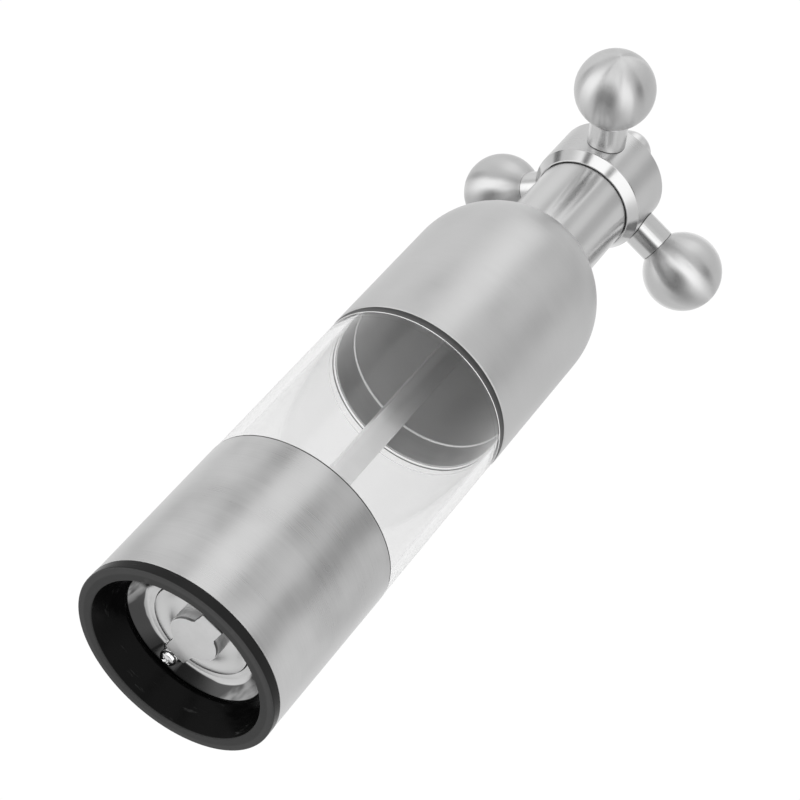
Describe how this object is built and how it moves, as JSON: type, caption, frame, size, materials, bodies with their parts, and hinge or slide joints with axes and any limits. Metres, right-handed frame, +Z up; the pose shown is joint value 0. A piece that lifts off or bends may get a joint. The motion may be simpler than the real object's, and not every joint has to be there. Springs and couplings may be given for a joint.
{
  "type": "pepper mill",
  "caption": "Steel pepper mill with a clear chamber, a domed cover, a narrow neck and a ball-handled turning head over a square shaft and burr grinder.",
  "frame": {"origin": "where the mill's axis meets the surface that the foot ring stands on", "axes": "+Z up along the mill's axis towards the knob, +X through the centre of ball_1"},
  "size_m": [0.0683, 0.0756, 0.2148],
  "materials": {
    "brushed_steel": "fine lengthwise brushed grain, soft satin",
    "handle_steel": "fine satin, slightly blotchy, blurred highlights",
    "polished_steel": "pressed sheet, polished, faint turning marks",
    "plate_steel": "flat, matte ground",
    "screw_steel": "bright plated",
    "shaft_steel": "pale drawn square bar, matte",
    "burr_steel": "machined and hardened",
    "spring_steel": "drawn wire",
    "black_plastic": "moulded, satin, fine texture on the foot's face",
    "grey_plastic": "moulded acetal",
    "clear_acrylic": "clear, polished, fine scuffs"
  },
  "bodies": {
    "base": {"foot_ring": "black_plastic", "lower_sleeve": "brushed_steel", "retainer_dish": "polished_steel", "dish_screw_1": "screw_steel", "dish_screw_2": "screw_steel", "burr_housing": "black_plastic", "stator_burr": "burr_steel", "shaft_guide": "black_plastic", "clear_tube": "clear_acrylic"},
    "bell": {"bell": "brushed_steel", "neck": "brushed_steel", "neck_bush": "grey_plastic"},
    "head": {"hub": "brushed_steel", "drive_insert": "burr_steel", "stud_1": "handle_steel", "stud_2": "handle_steel", "stud_3": "handle_steel", "ball_1": "handle_steel", "ball_2": "handle_steel", "ball_3": "handle_steel"},
    "knob": {"knob": "polished_steel"},
    "guide_bush": {"guide_bush": "grey_plastic"},
    "spindle": {"drive_shaft": "shaft_steel", "rotor_burr": "polished_steel", "foot_plate": "plate_steel", "burr_spring": "spring_steel"}
  },
  "joints": [
    {"name": "bell_lift", "type": "slide", "parent": "base", "child": "bell", "axis": [0, 0, 1], "range_m": [0, 0.12]},
    {"name": "head_spin", "type": "hinge", "parent": "bell", "child": "head", "pos_m": [0, 0, 0.192], "axis": [0, 0, 1], "continuous": true},
    {"name": "knob_turn", "type": "hinge", "parent": "head", "child": "knob", "pos_m": [0, 0, 0.205], "axis": [0, 0, 1], "range_deg": [-540, 0]},
    {"name": "shaft_spin", "type": "hinge", "parent": "base", "child": "guide_bush", "pos_m": [0, 0, 0.034], "axis": [0, 0, 1], "continuous": true},
    {"name": "shaft_lift", "type": "slide", "parent": "guide_bush", "child": "spindle", "axis": [0, 0, 1], "range_m": [0, 0.0012], "deforming": ["burr_spring"]}
  ],
  "couplings": [
    {"joint": "shaft_spin", "follows": "head_spin", "ratio": 1},
    {"joint": "knob_turn", "follows": "shaft_lift", "rad_per_m": -7854}
  ]
}
